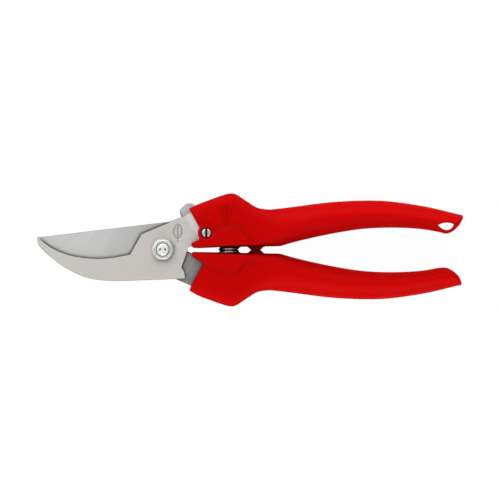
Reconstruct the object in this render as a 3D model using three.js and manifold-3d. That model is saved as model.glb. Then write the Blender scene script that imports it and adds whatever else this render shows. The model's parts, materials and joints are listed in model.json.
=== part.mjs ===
// Bypass pruner with moulded handles, jaws closed, lying flat on its back.
//
// Units are millimetres. +X runs from the jaws to the handle ends, +Y is towards the upper handle and +Z is
// towards the front, the side that carries the pivot nut. The table is z = 0.
// All the pieces are drawn about the pivot, and the last group moves the pivot so that the origin is at the
// bottom centre of the tool's box. The lower handle is drawn like an upper one and mirrored.
import * as THREE from "three";
import { mergeVertices } from "three/addons/utils/BufferGeometryUtils.js";
import Module from "manifold-3d";

const wasm = await Module();
wasm.setup();

// ---------------------------------------------------------------- driving dimensions
const PIVOT = { x: -41.075, y: 0.15 }; // where the pivot stands in the finished frame
const MIRROR_Y = -0.3; // the lower handle is the upper one at y = MIRROR_Y - y

// A handle is three rounded plates. `inset` and `rise` are the width and height of a plate's rounded edge.
const GRIP = { thick: 16, inset: 2.6, rise: 5, steps: 4 }; // touches the table at z = 0
const SHOULDER = { thick: 12.8, inset: 0.9, rise: 1.1, steps: 2 };
const WING = { thick: 14.4, inset: 0.6, rise: 0.8, steps: 1 };
const UPPER_END_X = 140.9;
const LOWER_END_X = 140.1;
const GAP = { front: 0.9, back: 1.2, backX: 48 }; // height of a handle's inner edge over the pivot's line
const MID_Z = GRIP.thick / 2; // the plane where the two blades slide on each other
const CLEAR = 1; // how far a cutting tool reaches past the solid that it cuts

const BLADE_THICK = 2.8;
const BLADE_PLAY = 0.04; // between the two blades
const COUNTER = { low: MID_Z + BLADE_PLAY / 2, high: MID_Z + BLADE_THICK };
const CUTTING = { low: MID_Z - BLADE_THICK, high: MID_Z - BLADE_PLAY / 2 };
const FIT = 0.3; // between a tang and its slot, a head and its seat
const TOUCH = 0.05; // between two pieces that rest on each other

const M6_RADIUS = 3;
const PIVOT_HOLE_RADIUS = 3.06;
const NUT = { flats: 10, height: 3.9, chamfer: 0.8, throat: 3.65 };
const HEAD_HEIGHT = 3;
const WASHER = { outer: 6.2, thick: 0.7 };

const HEEL = { radius: 11.2, from: -3, to: 62 }; // round heel of the cutting blade, about the pivot
const NOTCH = { angle: 38, half: 1.5, depth: 2.4 }; // catch for the lock lever in that heel

const SCREW = { x: 20.4, y: 7.8, radius: 1.5 }; // the lock lever turns here
const SCREW_HEAD = { radius: 2.05, height: 1.3, bevel: 0.25, slot: 0.75, slotDepth: 0.7 };
const BOSS = { radius: 3.95, top: 15, sides: 24 };
const LEVER = { low: 5.75, high: 7.85, holeRadius: 2.27, eye: 4.1 };
const WAVE_WASHER = { outer: 3.6, inner: 2.3, thick: 0.4 };
const BUSH = { radius: 2.2, flange: 3.9, flangeThick: 1.1 };
const BUSH_LOW = LEVER.low - WAVE_WASHER.thick - 2 * TOUCH - BUSH.flangeThick;
const RECESS = { radius: 17.6, from: 58, to: 190, hub: 4.7 };

const SPRING = { x: 30.9, radius: 4.1, wire: 0.7, turns: 11, start: 0.12, reach: 9.1 }; // start: in turns
const POCKET = { radius: 4.95, depth: 9.9 };
const BUMPER = { x: 43.3, tipHalf: 2.1, half: 3.6, tip: 0.1, wide: 9 };

const ROUND_SIDES = 32;
const HEX_SIDES = 6;
const WIRE_SIDES = 6;
const STEPS_PER_TURN = 16;

const STEEL = { color: 0xc9c7c2, roughness: 0.35, metalness: 1 };
const DARK_STEEL = { color: 0x9c9b99, roughness: 0.4, metalness: 1 };
const BRIGHT_STEEL = { color: 0xd9d9d8, roughness: 0.2, metalness: 1 };
const SPRING_STEEL = { color: 0x3a3634, roughness: 0.45, metalness: 0.9 };
const RED_PLASTIC = { color: 0xc40c0c, roughness: 0.4, metalness: 0 };

// ---------------------------------------------------------------- solids
function solid(geometry) {
  const bare = geometry.clone();
  bare.deleteAttribute("normal");
  bare.deleteAttribute("uv");
  const welded = mergeVertices(bare, 1e-5);
  return new wasm.Manifold(
    new wasm.Mesh({
      numProp: 3,
      vertProperties: new Float32Array(welded.attributes.position.array),
      triVerts: new Uint32Array(welded.index.array),
    }),
  );
}

function geometryOf(manifold) {
  const mesh = manifold.getMesh();
  const geometry = new THREE.BufferGeometry();
  geometry.setAttribute("position", new THREE.BufferAttribute(mesh.vertProperties, 3));
  geometry.setIndex(new THREE.BufferAttribute(mesh.triVerts, 1));
  return geometry;
}

function piece(name, manifold, look) {
  const geometry = geometryOf(manifold).toNonIndexed();
  geometry.computeVertexNormals();
  const mesh = new THREE.Mesh(geometry, new THREE.MeshStandardMaterial(look));
  mesh.name = name;
  return mesh;
}

// A plate of an outline, from z = low to z = high.
function plate(shape, low, high, curveSegments = 8) {
  const options = { depth: high - low, bevelEnabled: false, curveSegments };
  const geometry = new THREE.ExtrudeGeometry(shape, options);
  geometry.translate(0, 0, low);
  return solid(geometry);
}

// A plate with rounded edges, half of it above and half below the middle of the tool.
function roundedPlate(shape, { thick, inset, rise, steps }) {
  const geometry = new THREE.ExtrudeGeometry(shape, {
    depth: thick - 2 * rise,
    bevelSize: inset,
    bevelOffset: -inset,
    bevelThickness: rise,
    bevelSegments: steps,
    curveSegments: 3,
  });
  geometry.translate(0, 0, MID_Z - thick / 2 + rise);
  return solid(geometry);
}

// A round bar along Z at (x, y).
function bar(x, y, radius, low, high, sides = ROUND_SIDES) {
  const geometry = new THREE.CylinderGeometry(radius, radius, high - low, sides);
  geometry.rotateX(Math.PI / 2);
  geometry.translate(x, y, (low + high) / 2);
  return solid(geometry);
}

// A bar that is long enough to drill through any piece.
function drill(x, y, radius) {
  return bar(x, y, radius, -CLEAR, GRIP.thick + CLEAR);
}

function ring(x, y, inner, outer, low, high) {
  return bar(x, y, outer, low, high).subtract(drill(x, y, inner));
}

// A turned piece from [radius, z] pairs, its axis along Z at (x, y).
function turned(x, y, profile) {
  const geometry = new THREE.LatheGeometry(points(profile), ROUND_SIDES);
  geometry.rotateX(Math.PI / 2);
  geometry.translate(x, y, 0);
  return solid(geometry);
}

function hexagon(flats, low, high) {
  const corners = flats / Math.cos(Math.PI / HEX_SIDES);
  const geometry = new THREE.CylinderGeometry(corners / 2, corners / 2, high - low, HEX_SIDES);
  geometry.rotateX(Math.PI / 2);
  geometry.rotateZ(Math.PI / HEX_SIDES);
  geometry.translate(0, 0, (low + high) / 2);
  return solid(geometry);
}

function points(pairs) {
  return pairs.map(([x, y]) => new THREE.Vector2(x, y));
}

function lines(shape, ...pairs) {
  pairs.forEach(([x, y]) => shape.lineTo(x, y));
}

function spline(shape, ...pairs) {
  shape.splineThru(points(pairs));
}

function mirrored(manifold) {
  return manifold.mirror([0, 1, 0]).translate([0, MIRROR_Y, 0]);
}

// ---------------------------------------------------------------- tangs
// The part of a blade that is buried in its handle, grown by `grow` on every side to make its slot.
// Both are drawn as if they were in the upper handle.
function counterTang(grow) {
  return new THREE.Shape(
    points([
      [11, 2.4 - grow],
      [24.4 + grow, 2.4 - grow],
      [25 + grow, 10.9 - grow],
      [36, 11.2 - grow],
      [62 + grow, 9.6 - grow],
      [62 + grow, 15.6 + grow],
      [34, 20.3 + grow],
      [22, 20.1 + grow],
      [11, 15.8 + grow],
    ]),
  );
}

function cuttingTang(grow) {
  return new THREE.Shape(
    points([
      [12.5, 1.7 - grow],
      [24.4 + grow, 2 - grow],
      [25 + grow, 11.2 - grow],
      [36, 11.4 - grow],
      [62 + grow, 9.6 - grow],
      [62 + grow, 15.6 + grow],
      [34, 20.3 + grow],
      [22, 19.9 + grow],
      [12.5, 16.2 + grow],
    ]),
  );
}

// ---------------------------------------------------------------- blades
// The front plate: a hooked jaw with a concave shearing edge, and a shoulder with a hole for the lock screw.
function hookOutline() {
  const shape = new THREE.Shape();
  shape.moveTo(13.2, 2.4);
  lines(shape, [13.2, 16.9], [2.7, 12.9], [-10.2, 7.5], [-15.5, -2]);
  spline(shape, [-23.8, -3.5], [-31, -3.95], [-38.2, -3.35], [-45.3, -1.8], [-52.5, 1.5], [-57.3, 5.3]);
  lines(shape, [-57.9, 6.1], [-58.4, 6], [-58.75, 4.6]);
  spline(shape, [-57.2, 1], [-52.3, -3.6], [-45, -8.8], [-36.6, -12.8], [-28.2, -14.4], [-19, -14.7]);
  lines(shape, [10.5, -13.5], [10.2, -10.7], [8.8, -8.3], [11.6, -0.4]);
  shape.quadraticCurveTo(11.6, 1.1, 13.2, 2.4);
  return shape;
}

function counterBlade() {
  return plate(hookOutline(), COUNTER.low, COUNTER.high, 3)
    .add(plate(counterTang(0), COUNTER.low, COUNTER.high))
    .subtract(drill(0, 0, PIVOT_HOLE_RADIUS))
    .subtract(drill(SCREW.x, SCREW.y, SCREW.radius + FIT));
}

// The back plate: a curved cutting edge, and a heel that is round about the pivot.
function bladeOutline() {
  const shape = new THREE.Shape();
  shape.moveTo(-57.4, 5.85);
  spline(shape, [-50, -1.2], [-40, -6.1], [-30, -8], [-20, -8.4], [-8, -9.2]);
  lines(shape, [6.2, -13.8], [14, -17.2], [22, -20.2], [24, -2.3], [14.4, -2.15]);
  const from = THREE.MathUtils.degToRad(HEEL.from);
  const to = THREE.MathUtils.degToRad(HEEL.to);
  shape.lineTo(HEEL.radius * Math.cos(from), HEEL.radius * Math.sin(from));
  shape.absarc(0, 0, HEEL.radius, from, to, false);
  lines(shape, [3.2, 13]);
  return shape;
}

function lockNotch() {
  const geometry = new THREE.BoxGeometry(2 * NOTCH.depth, 2 * NOTCH.half, GRIP.thick);
  geometry.translate(HEEL.radius, 0, MID_Z);
  geometry.rotateZ(THREE.MathUtils.degToRad(NOTCH.angle));
  return solid(geometry);
}

function cuttingBlade() {
  return plate(bladeOutline(), CUTTING.low, CUTTING.high, 4)
    .add(mirrored(plate(cuttingTang(0), CUTTING.low, CUTTING.high)))
    .subtract(lockNotch())
    .subtract(drill(0, 0, PIVOT_HOLE_RADIUS));
}

// ---------------------------------------------------------------- handles
// The outer edge runs over the hump of the shoulder and along the grip, and the inner edge comes back.
const HUMP_EDGE = [
  [16.7, 21.3],
  [22.4, 23.5],
  [28, 25.5],
  [31.6, 26.3],
  [34.5, 25.7],
  [39.2, 22.7],
  [44.4, 19.6],
];
const GRIP_EDGE = [[50, 18.8], [61.7, 20.1], [78, 22.2], [95, 23], [108, 22.4], [124, 19.9]];
const INNER_EDGE = [[120.6, 9.6], [106.4, 10.5], [90, 9.3], [73, 6.3], [58.9, 2.9], [51, 1.6]];

// The front edges, from the outer corner to the inner one. The lower handle's reaches forward over the tang.
const UPPER_FRONT = [[12.5, 19.2], [17.3, 10.2], [17.2, 4.8], [13.6, 3.1], [13.4, 2.1], [14.3, 1]];
const LOWER_FRONT = [[12.5, 18.7], [13.3, 16.5], [19.2, 6.2], [15.2, 3.75], [13.6, 2.4], [14.2, 0.9]];

function gripOutline(endX) {
  const joinX = 43; // inside the shoulder
  const shape = new THREE.Shape();
  shape.moveTo(joinX, 20.4);
  spline(shape, ...GRIP_EDGE, [endX - 2.6, 16.4]);
  lines(shape, [endX, 13.9], [endX - 4, 9.6], [endX - 8.6, 7.5]);
  spline(shape, ...INNER_EDGE);
  lines(shape, [joinX, GAP.back]);
  shape.quadraticCurveTo(36, 10.5, joinX, 20.4);
  return shape;
}

function shoulderOutline(front) {
  const [corner, ...others] = front;
  const shape = new THREE.Shape();
  shape.moveTo(...corner);
  spline(shape, ...HUMP_EDGE);
  spline(shape, [52, 16], [60, 10], [54, 3.6]);
  lines(shape, [GAP.backX, GAP.back], [16, GAP.front]);
  lines(shape, ...others.reverse(), corner);
  return shape;
}

// The raised wing round the spring.
function wingOutline() {
  const shape = new THREE.Shape();
  shape.moveTo(18, 1);
  lines(shape, [43.6, 1.3], [42.4, 3]);
  spline(shape, [39.7, 5.9], [37.6, 8.4], [35.5, 10.1], [32.1, 11], [28.4, 10.2], [24.8, 8.4]);
  lines(shape, [18, 5]);
  return shape;
}

// The block that meets the one on the other handle when the jaws are closed.
function bumper() {
  const shape = new THREE.Shape();
  const tipY = BUMPER.tip + MIRROR_Y / 2;
  const rootY = GAP.back + CLEAR;
  shape.moveTo(BUMPER.x - BUMPER.half, rootY);
  lines(shape, [BUMPER.x - BUMPER.half, GAP.back], [BUMPER.x - BUMPER.tipHalf, tipY]);
  lines(shape, [BUMPER.x + BUMPER.tipHalf, tipY], [BUMPER.x + BUMPER.half, GAP.back]);
  lines(shape, [BUMPER.x + BUMPER.half, rootY]);
  return plate(shape, MID_Z - BUMPER.wide / 2, MID_Z + BUMPER.wide / 2);
}

function springPocket() {
  const geometry = new THREE.CylinderGeometry(POCKET.radius, POCKET.radius, POCKET.depth, ROUND_SIDES);
  geometry.translate(SPRING.x, POCKET.depth / 2, MID_Z);
  return solid(geometry);
}

function handleBlank(front, endX) {
  return roundedPlate(shoulderOutline(front), SHOULDER)
    .add(roundedPlate(gripOutline(endX), GRIP))
    .add(roundedPlate(wingOutline(), WING))
    .add(bumper())
    .subtract(springPocket());
}

// The lens-shaped hole for a lanyard near the end of the upper handle.
function lanyardHole() {
  const shape = new THREE.Shape();
  shape.moveTo(128.8, 11.45);
  spline(shape, [130.4, 9.95], [132.6, 9.2], [134.8, 9.85], [136.3, 11.8]);
  spline(shape, [134.8, 12.4], [132.6, 12.6], [130.4, 12.2], [128.8, 11.45]);
  return plate(shape, -CLEAR, GRIP.thick + CLEAR, 3);
}

// The space behind the front corner in which the lock lever swings.
function leverRecess() {
  const from = THREE.MathUtils.degToRad(RECESS.from);
  const to = THREE.MathUtils.degToRad(RECESS.to);
  const shape = new THREE.Shape();
  shape.moveTo(SCREW.x, SCREW.y);
  shape.lineTo(SCREW.x + RECESS.radius * Math.cos(from), SCREW.y + RECESS.radius * Math.sin(from));
  shape.absarc(SCREW.x, SCREW.y, RECESS.radius, from, to, false);
  return plate(shape, -CLEAR, COUNTER.low, 6).add(bar(SCREW.x, SCREW.y, RECESS.hub, -CLEAR, COUNTER.low));
}

function screwBoss() {
  return bar(SCREW.x, SCREW.y, BOSS.radius, MID_Z, BOSS.top, BOSS.sides);
}

function screwSeat() {
  const seat = BOSS.top - FIT - SCREW_HEAD.height;
  return bar(SCREW.x, SCREW.y, SCREW_HEAD.radius + FIT, seat, GRIP.thick + CLEAR);
}

function upperHandle() {
  return handleBlank(UPPER_FRONT, UPPER_END_X)
    .add(screwBoss())
    .subtract(plate(counterTang(FIT), COUNTER.low - FIT, COUNTER.high + FIT))
    .subtract(leverRecess())
    .subtract(drill(SCREW.x, SCREW.y, SCREW.radius + FIT))
    .subtract(screwSeat())
    .subtract(lanyardHole());
}

function lowerHandle() {
  const slot = plate(cuttingTang(FIT), CUTTING.low - FIT, CUTTING.high + FIT);
  return mirrored(handleBlank(LOWER_FRONT, LOWER_END_X).subtract(slot));
}

// ---------------------------------------------------------------- pivot
// The bolt comes from the back, and its domed end shows inside the nut.
function pivotBolt() {
  const headTop = CUTTING.low - WASHER.thick;
  const nutTop = COUNTER.high + NUT.height;
  const shank = turned(0, 0, [
    [0, headTop - CLEAR],
    [M6_RADIUS, headTop - CLEAR],
    [M6_RADIUS, nutTop - 0.2],
    [2.6, nutTop + 0.3],
    [1.6, nutTop + 0.75],
    [0, nutTop + 0.9],
  ]);
  return shank.add(hexagon(NUT.flats, headTop - HEAD_HEIGHT, headTop));
}

function pivotNut() {
  const low = COUNTER.high;
  const high = low + NUT.height;
  const topRadius = (NUT.flats - NUT.chamfer) / 2;
  const bore = M6_RADIUS + TOUCH;
  // A cone that cuts the corners of the hexagon back towards its top face.
  const cone = turned(0, 0, [
    [0, low - CLEAR],
    [NUT.flats, low - CLEAR],
    [NUT.flats, high - 3 * NUT.chamfer],
    [topRadius, high],
    [0, high],
  ]);
  const throat = turned(0, 0, [
    [0, low - CLEAR],
    [bore, low - CLEAR],
    [bore, high - NUT.chamfer],
    [NUT.throat, high],
    [NUT.throat, high + CLEAR],
    [0, high + CLEAR],
  ]);
  return hexagon(NUT.flats, low, high).intersect(cone).subtract(throat);
}

function pivotWasher() {
  return ring(0, 0, PIVOT_HOLE_RADIUS, WASHER.outer, CUTTING.low - WASHER.thick, CUTTING.low);
}

// ---------------------------------------------------------------- lock
// A flat lever: its thumb tab stands out above the shoulder and its nose points at the notch in the heel.
function lockLever() {
  const shape = new THREE.Shape();
  shape.moveTo(16.6, 9.6);
  lines(shape, [11.4, 13.4], [8.8, 15.3]);
  shape.quadraticCurveTo(7.8, 17.2, 8.2, 18.9);
  lines(shape, [11.6, 21.9]);
  shape.quadraticCurveTo(13.4, 22, 14.8, 21.2);
  lines(shape, [18.6, 15], [22.6, 11.3]);
  shape.absarc(SCREW.x, SCREW.y, LEVER.eye, 0.8, Math.PI + 0.3, true);
  lines(shape, [9.8, 6.2], [9.5, 7.2], [10.5, 8.4], [16.6, 9.6]);
  return plate(shape, LEVER.low, LEVER.high, 5).subtract(drill(SCREW.x, SCREW.y, LEVER.holeRadius));
}

function lockScrew() {
  const headTop = BOSS.top - FIT;
  const headLow = headTop - SCREW_HEAD.height;
  const low = BUSH_LOW + 0.2;
  const slot = new THREE.BoxGeometry(SCREW_HEAD.slot, 3 * SCREW_HEAD.radius, 2 * SCREW_HEAD.slotDepth);
  slot.translate(SCREW.x, SCREW.y, headTop);
  return turned(SCREW.x, SCREW.y, [
    [0, low],
    [SCREW.radius, low],
    [SCREW.radius, headLow],
    [SCREW_HEAD.radius, headLow],
    [SCREW_HEAD.radius, headTop - SCREW_HEAD.bevel],
    [SCREW_HEAD.radius - SCREW_HEAD.bevel, headTop],
    [0, headTop],
  ]).subtract(solid(slot));
}

// The bush that the lever turns on. The screw goes into it from the front.
function lockBush() {
  const bore = SCREW.radius + TOUCH;
  const flangeTop = BUSH_LOW + BUSH.flangeThick;
  const top = COUNTER.low - BLADE_PLAY / 2;
  return turned(SCREW.x, SCREW.y, [
    [bore, BUSH_LOW],
    [BUSH.flange, BUSH_LOW],
    [BUSH.flange, flangeTop],
    [BUSH.radius, flangeTop],
    [BUSH.radius, top],
    [bore, top],
    [bore, BUSH_LOW],
  ]);
}

function lockWasher() {
  const high = LEVER.low - TOUCH;
  return ring(SCREW.x, SCREW.y, WAVE_WASHER.inner, WAVE_WASHER.outer, high - WAVE_WASHER.thick, high);
}

// ---------------------------------------------------------------- spring
class SpringLine extends THREE.Curve {
  getPoint(t, target = new THREE.Vector3()) {
    const angle = 2 * Math.PI * (SPRING.turns * t + SPRING.start);
    const reach = SPRING.reach - SPRING.wire;
    return target.set(
      SPRING.x + SPRING.radius * Math.cos(angle),
      MIRROR_Y / 2 + reach * (1 - 2 * t),
      MID_Z + SPRING.radius * Math.sin(angle),
    );
  }
}

function returnSpring() {
  const corners = Array.from({ length: WIRE_SIDES }, (_, i) => {
    const angle = (2 * Math.PI * i) / WIRE_SIDES;
    return [SPRING.wire * Math.cos(angle), SPRING.wire * Math.sin(angle)];
  });
  const geometry = new THREE.ExtrudeGeometry(new THREE.Shape(points(corners)), {
    steps: STEPS_PER_TURN * SPRING.turns,
    extrudePath: new SpringLine(),
    curveSegments: 1,
  });
  return solid(geometry);
}

// ---------------------------------------------------------------- the tool
const tool = new THREE.Group();
tool.position.set(PIVOT.x, PIVOT.y, 0);
tool.add(
  piece("counter_blade", counterBlade(), STEEL),
  piece("cutting_blade", cuttingBlade(), DARK_STEEL),
  piece("upper_handle", upperHandle(), RED_PLASTIC),
  piece("lower_handle", lowerHandle(), RED_PLASTIC),
  piece("pivot_bolt", pivotBolt(), BRIGHT_STEEL),
  piece("pivot_nut", pivotNut(), BRIGHT_STEEL),
  piece("pivot_washer", pivotWasher(), BRIGHT_STEEL),
  piece("return_spring", returnSpring(), SPRING_STEEL),
  piece("lock_lever", lockLever(), STEEL),
  piece("lock_screw", lockScrew(), BRIGHT_STEEL),
  piece("lock_bush", lockBush(), BRIGHT_STEEL),
  piece("lock_washer", lockWasher(), SPRING_STEEL),
);

const root = new THREE.Group();
root.add(tool);
export default root;
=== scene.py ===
"""A bypass pruner with red moulded grips, jaws closed, on a pale floor.

Shapes are drawn in millimetres about the pivot, with x towards the handle ends, y towards the upper handle
and z as the height above the floor. The frame says where the pivot is. The lower handle is drawn like the
upper one and then mirrored.
"""

import json
import math

import bmesh
import bpy
import numpy as np
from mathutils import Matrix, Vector
from mathutils.geometry import delaunay_2d_cdt


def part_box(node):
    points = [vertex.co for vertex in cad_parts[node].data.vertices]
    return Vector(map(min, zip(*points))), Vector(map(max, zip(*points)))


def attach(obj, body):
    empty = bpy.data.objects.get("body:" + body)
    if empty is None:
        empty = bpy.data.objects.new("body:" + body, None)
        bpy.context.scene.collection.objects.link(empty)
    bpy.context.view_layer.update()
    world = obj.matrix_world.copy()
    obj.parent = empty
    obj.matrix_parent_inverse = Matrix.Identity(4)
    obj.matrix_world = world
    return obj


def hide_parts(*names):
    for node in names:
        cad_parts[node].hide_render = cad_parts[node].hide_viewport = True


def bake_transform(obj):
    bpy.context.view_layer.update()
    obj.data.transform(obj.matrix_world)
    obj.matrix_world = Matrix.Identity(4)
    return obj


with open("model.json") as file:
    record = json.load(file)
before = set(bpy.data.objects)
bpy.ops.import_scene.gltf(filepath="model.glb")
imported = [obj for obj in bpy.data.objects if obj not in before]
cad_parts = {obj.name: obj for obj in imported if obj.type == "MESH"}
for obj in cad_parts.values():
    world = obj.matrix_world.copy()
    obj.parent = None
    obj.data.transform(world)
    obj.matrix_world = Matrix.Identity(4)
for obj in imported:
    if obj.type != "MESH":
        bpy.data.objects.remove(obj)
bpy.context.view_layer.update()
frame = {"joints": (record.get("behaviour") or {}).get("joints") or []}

MM = 0.001
HINGE = next(j for j in frame["joints"] if j["name"] == "jaw_hinge")
PIVOT = np.array([HINGE["pos_m"][0], HINGE["pos_m"][1], 0.0])
MID_Z = HINGE["pos_m"][2] / MM
MIRROR_Y = -0.3  # a mirrored point's y is this less its own


def height_range(node):
    low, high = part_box(node)
    return low.z / MM, high.z / MM


COUNTER_LOW, COUNTER_HIGH = height_range("counter_blade")
CUTTING_LOW, CUTTING_HIGH = height_range("cutting_blade")
LEVER_LOW, LEVER_HIGH = height_range("lock_lever")
NUT_LOW, NUT_HIGH = height_range("pivot_nut")
BOLT_LOW, BOLT_HIGH = height_range("pivot_bolt")
WASHER_LOW, WASHER_HIGH = height_range("pivot_washer")
SCREW_LOW, SCREW_HIGH = height_range("lock_screw")
BUSH_LOW, BUSH_HIGH = height_range("lock_bush")
GRIP_LOW, GRIP_HIGH = height_range("upper_handle")

# lock screw and its boss
SCREW = (20.4, 7.8)
SCREW_RADIUS = 1.5
HEAD_RADIUS = 2.05
HEAD_BASE = SCREW_HIGH - 1.3
SLOT_FLOOR = SCREW_HIGH - 1.15
SLOT_HALF = 0.48
BOSS_RADIUS = 3.95
BOSS_TOP = SCREW_HIGH + 0.3

# pivot
NUT_FLATS = 9.7
BOLT_RADIUS = 3.0
HOLE_RADIUS = 3.06
HOLE_BREAK = 0.12
WASHER_RADIUS = 6.2
SLIDE_GAP = 0.02  # between the washer and the blade that turns on it

# handles
SHOULDER_HALF = 6.4
GRIP_HALF = (GRIP_HIGH - GRIP_LOW) / 2
WING_RAISE = 0.95
RIM_DROP = 1.5
RIM_WIDTH = 6.5
BUMPER = (43.5, 2.3)  # middle and half length of the bump stop
LIP = (34.3, 0.6)  # and of the small lip behind the spring
END_ROUND = 2.6
CELL = 0.4  # of the grid that the handles are meshed on

# spring and its pockets
SPRING_X = 30.9
SPRING_RADIUS = 4.1
WIRE_RADIUS = 0.7
SPRING_TURNS = 11
SPRING_PHASE = 0.12  # in turns
SPRING_REACH = 9.1
POCKET_RADIUS = 4.95
POCKET_DEPTH = 9.9


# ---------------------------------------------------------------- outlines
def catmull(points, step=0.8):
    """Points along the smooth curve through `points`, without the first one."""
    p = np.array([points[0], *points, points[-1]], float)
    out = []
    for a, b, c, d in zip(p[:-3], p[1:-2], p[2:-1], p[3:]):
        n = max(2, int(np.hypot(*(c - b)) / step))
        t = (np.arange(1, n + 1) / n)[:, None]
        v0 = (c - a) / 2
        v1 = (d - b) / 2
        out.append((2 * b - 2 * c + v0 + v1) * t**3 + (3 * c - 3 * b - 2 * v0 - v1) * t**2 + v0 * t + b)
    return np.vstack(out)


def arc_points(x, y, radius, start, end, n):
    """Points along an arc between two angles in degrees."""
    angles = [math.radians(start + (end - start) * i / n) for i in range(n + 1)]
    return [np.array([x + radius * math.cos(a), y + radius * math.sin(a)]) for a in angles]


class Outline:
    """A closed outline put together from straight lines, smooth curves and arcs."""

    def __init__(self, x, y):
        self.points = [np.array([x, y], float)]

    def line(self, x, y, step=1e9):
        end = np.array([x, y], float)
        start = self.points[-1]
        n = max(1, int(np.hypot(*(end - start)) / step))
        self.points += [start + (end - start) * i / n for i in range(1, n + 1)]
        return self

    def curve(self, *through, step=0.8):
        self.points += list(catmull([self.points[-1], *through], step))
        return self

    def arc(self, x, y, radius, start, end, n):
        self.points += arc_points(x, y, radius, start, end, n)
        return self

    def array(self):
        """The outline as an anticlockwise loop without repeated points."""
        p = np.array(self.points)
        p = p[np.hypot(*(p - np.roll(p, 1, axis=0)).T) > 1e-6]
        area = np.sum(p[:, 0] * np.roll(p[:, 1], -1) - p[:, 1] * np.roll(p[:, 0], -1))
        return p if area > 0 else p[::-1]


def distance_to(path, x, y):
    """How far each point is from an open path."""
    best = np.full(x.shape, 1e9)
    for (ax, ay), (dx, dy) in zip(path[:-1], np.diff(path, axis=0)):
        t = np.clip(((x - ax) * dx + (y - ay) * dy) / (dx * dx + dy * dy), 0, 1)
        best = np.minimum(best, (x - ax - t * dx) ** 2 + (y - ay - t * dy) ** 2)
    return np.sqrt(best)


def depth_inside(loop, x, y):
    """How far each point is inside the loop, negative outside it."""
    distance = distance_to(np.vstack([loop, loop[:1]]), x, y)
    inside = np.zeros(x.shape, bool)
    for (ax, ay), (bx, by) in zip(loop, np.roll(loop, -1, axis=0)):
        if ay != by:
            inside ^= ((ay > y) != (by > y)) & (x < (bx - ax) * (y - ay) / (by - ay) + ax)
    return np.where(inside, distance, -distance)


def smooth_step(low, high, v):
    t = np.clip((v - low) / (high - low), 0, 1)
    return t * t * (3 - 2 * t)


def smooth_max(a, b, k):
    h = np.clip(0.5 + (a - b) / (2 * k), 0, 1)
    return b + (a - b) * h + k * h * (1 - h)


def smooth_min(a, b, k):
    return -smooth_max(-a, -b, k)


# ---------------------------------------------------------------- solids
def fill(loops):
    """Triangles of the flat region inside the first loop and outside the rest."""
    points = np.vstack(loops)
    edges = []
    start = 0
    for loop in loops:
        n = len(loop)
        edges += [(start + i, start + (i + 1) % n) for i in range(n)]
        start += n
    found, _, triangles, sources, _, _ = delaunay_2d_cdt([Vector(p) for p in points], edges, [], 0, 1e-7)

    def original(source, place):
        return source[0] if source else int(np.argmin(np.hypot(*(points - np.array(place)).T)))

    index = [original(source, place) for source, place in zip(sources, found)]
    centre = np.array([np.mean([found[i] for i in t], axis=0) for t in triangles])
    keep = depth_inside(loops[0], centre[:, 0], centre[:, 1]) > 0
    for loop in loops[1:]:
        keep &= depth_inside(loop, centre[:, 0], centre[:, 1]) < 0
    return [[index[i] for i in t] for t, k in zip(triangles, keep) if k]


class Solid:
    """Points and faces, mostly put together from rings of points that are joined one to the next."""

    def __init__(self, points=(), faces=()):
        self.points = list(points)
        self.faces = list(faces)

    def add_loop(self, xy, z):
        start = len(self.points)
        heights = np.broadcast_to(np.asarray(z, float), len(xy))
        self.points += [(x, y, h) for (x, y), h in zip(xy, heights)]
        return np.arange(start, start + len(xy))

    def bridge(self, a, b):
        """Faces between two rings, either of which may be a single point."""
        n = max(len(a), len(b))
        for i in range(n):
            j = (i + 1) % n
            if len(a) == 1:
                self.faces.append((a[0], b[i], b[j]))
            elif len(b) == 1:
                self.faces.append((a[i], a[j], b[0]))
            else:
                self.faces.append((a[i], a[j], b[j], b[i]))

    def join(self, rings):
        for a, b in zip(rings[:-1], rings[1:]):
            self.bridge(a, b)
        return rings

    def cap(self, rings):
        """A flat face inside the first ring and outside the others."""
        loops = [np.array([self.points[i][:2] for i in ring]) for ring in rings]
        index = np.concatenate(rings)
        self.faces += [[index[i] for i in t] for t in fill(loops)]

    def add(self, other):
        start = len(self.points)
        self.points += other.points
        self.faces += [[i + start for i in face] for face in other.faces]


def new_piece(name, solid, body, replaces, material, smooth_angle=None):
    mesh = bpy.data.meshes.new(name)
    points = PIVOT + np.asarray(solid.points, float) * MM
    mesh.from_pydata([tuple(p) for p in points], [], [tuple(int(i) for i in f) for f in solid.faces])
    mesh.validate()
    work = bmesh.new()
    work.from_mesh(mesh)
    bmesh.ops.recalc_face_normals(work, faces=work.faces)
    work.to_mesh(mesh)
    work.free()
    for polygon in mesh.polygons:
        polygon.use_smooth = True
    if smooth_angle is not None:
        mesh.set_sharp_from_angle(angle=math.radians(smooth_angle))
    piece = bpy.data.objects.new(name, mesh)
    bpy.context.scene.collection.objects.link(piece)
    mesh.materials.append(material)
    if body:
        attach(piece, body)
    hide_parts(replaces)
    return piece


def normals(loop):
    """Inward directions at the points of an anticlockwise loop, long enough to keep an inset's width."""
    before = loop - np.roll(loop, 1, axis=0)
    after = np.roll(loop, -1, axis=0) - loop
    before /= np.hypot(*before.T)[:, None]
    after /= np.hypot(*after.T)[:, None]
    n1 = np.stack([-before[:, 1], before[:, 0]], 1)
    n2 = np.stack([-after[:, 1], after[:, 0]], 1)
    total = n1 + n2
    return total / np.maximum((total * n1).sum(1), 0.4)[:, None]


def circle(x, y, radius, n=48):
    angles = 2 * np.pi * np.arange(n) / n
    return np.stack([x + radius * np.cos(angles), y + radius * np.sin(angles)], 1)


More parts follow.
